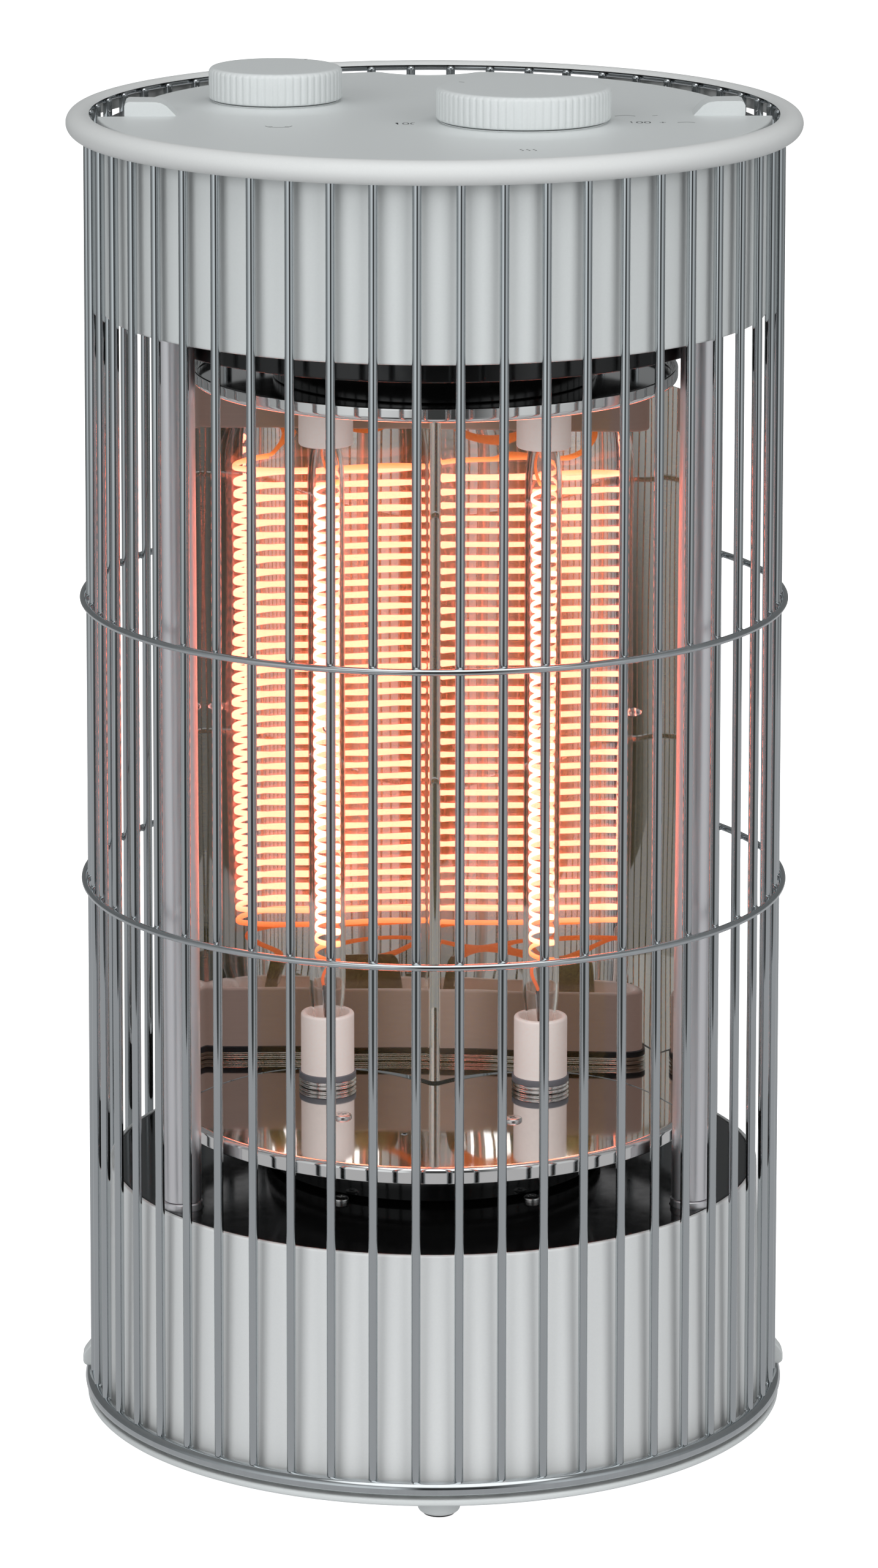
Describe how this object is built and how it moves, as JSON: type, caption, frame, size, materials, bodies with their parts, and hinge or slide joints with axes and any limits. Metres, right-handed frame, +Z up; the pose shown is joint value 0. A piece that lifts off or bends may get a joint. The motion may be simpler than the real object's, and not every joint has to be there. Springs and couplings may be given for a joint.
{
  "type": "carbon heater",
  "caption": "Round free-standing carbon heater with a swinging twin-tube reflector head inside a lift-off chrome wire guard, and control dials on its top panel.",
  "frame": {"origin": "on the floor under the heater's centre line", "axes": "+Z up, the lit front faces -Y, +X to the viewer's right"},
  "size_m": [0.2576, 0.2574, 0.4924],
  "materials": {
    "white_plastic": "cool off-white satin moulding",
    "rim_white": "off-white satin moulding",
    "chrome_wire": "bright chromed steel wire",
    "post_aluminium": "satin anodised tube",
    "mirror_sheet": "polished stainless sheet",
    "reflector_sheet": "polished reflector sheet",
    "black_gloss": "glossy black moulding",
    "black_plastic": "black moulding",
    "ceramic_white": "unglazed white ceramic",
    "quartz": "clear quartz tube",
    "screw_steel": "zinc-plated steel",
    "chassis_steel": "plated steel sheet",
    "ferrule_steel": "spring steel clip",
    "nylon": "natural nylon",
    "bush_brass": "sintered bronze bush",
    "motor_case": "plated motor can",
    "rubber_black": "soft black rubber",
    "lead_insulation": "heat-resistant lead insulation",
    "carbon_coil": "glowing carbon ribbon coil"
  },
  "bodies": {
    "base": {"base_pan": "white_plastic", "foot_pads": "rubber_black", "pan_screws": "screw_steel", "cord_gland": "white_plastic", "base_drum": "white_plastic", "base_top_plate": "black_gloss", "plate_screws": "screw_steel", "bearing_carrier": "chassis_steel", "lower_bush": "bush_brass", "swing_motor": "motor_case", "motor_standoffs": "screw_steel", "tip_switch": "black_plastic", "terminal_block": "nylon", "left_post": "post_aluminium", "right_post": "post_aluminium", "tie_rods": "screw_steel", "tie_rod_nuts": "screw_steel", "harness": "lead_insulation", "top_drum": "white_plastic", "top_under_plate": "black_gloss", "under_plate_screws": "screw_steel", "upper_bush": "bush_brass", "top_chassis_plate": "chassis_steel", "chassis_screws": "screw_steel", "thermal_cutout": "black_plastic", "top_panel": "white_plastic", "power_switch": "black_plastic", "swing_switch": "black_plastic"},
    "head": {"turntable": "black_gloss", "pivot_shaft": "screw_steel", "swing_gear": "nylon", "bottom_disc": "mirror_sheet", "disc_screws": "screw_steel", "reflector": "reflector_sheet", "lead_channel": "chassis_steel", "quartz_tubes": "quartz", "filaments": "carbon_coil", "filament_leads": "ferrule_steel", "lower_ceramics": "ceramic_white", "upper_ceramics": "ceramic_white", "lower_ferrules": "ferrule_steel", "top_disc": "mirror_sheet", "top_disc_screws": "screw_steel", "neck": "black_gloss", "upper_pivot_pin": "screw_steel"},
    "pinion": {"motor_pinion": "nylon"},
    "power_dial": {"power_knob": "white_plastic", "power_spindle": "screw_steel"},
    "swing_dial": {"swing_knob": "white_plastic", "swing_spindle": "screw_steel"},
    "tip_button": {"tip_plunger": "nylon"},
    "guard": {"guard_wires": "chrome_wire", "guard_hoops": "chrome_wire", "guard_bottom_ring": "chrome_wire", "guard_top_ring": "chrome_wire", "guard_rim": "rim_white", "guard_clips": "rim_white"}
  },
  "joints": [
    {"name": "head_swing", "type": "hinge", "parent": "base", "child": "head", "pos_m": [0, 0, 0.11], "axis": [0, 0, 1], "range_deg": [-30.5, 39.5]},
    {"name": "pinion_spin", "type": "hinge", "parent": "base", "child": "pinion", "pos_m": [0, 0.045, 0.085], "axis": [0, 0, 1], "range_deg": [-138.25, 106.75]},
    {"name": "power_turn", "type": "hinge", "parent": "base", "child": "power_dial", "pos_m": [0.03, -0.0317, 0.487], "axis": [0, 0, 1], "range_deg": [-120, 120]},
    {"name": "swing_turn", "type": "hinge", "parent": "base", "child": "swing_dial", "pos_m": [-0.0556, 0.0201, 0.487], "axis": [0, 0, 1], "range_deg": [-90, 90]},
    {"name": "tip_travel", "type": "slide", "parent": "base", "child": "tip_button", "axis": [0, 0, 1], "range_m": [-0.0035, 0], "stiffness_N_per_m": 150},
    {"name": "guard_lift", "type": "slide", "parent": "base", "child": "guard", "axis": [0, 0, 1], "range_m": [0, 0.48]}
  ],
  "couplings": [
    {"joint": "pinion_spin", "follows": "head_swing", "ratio": -3.5}
  ]
}
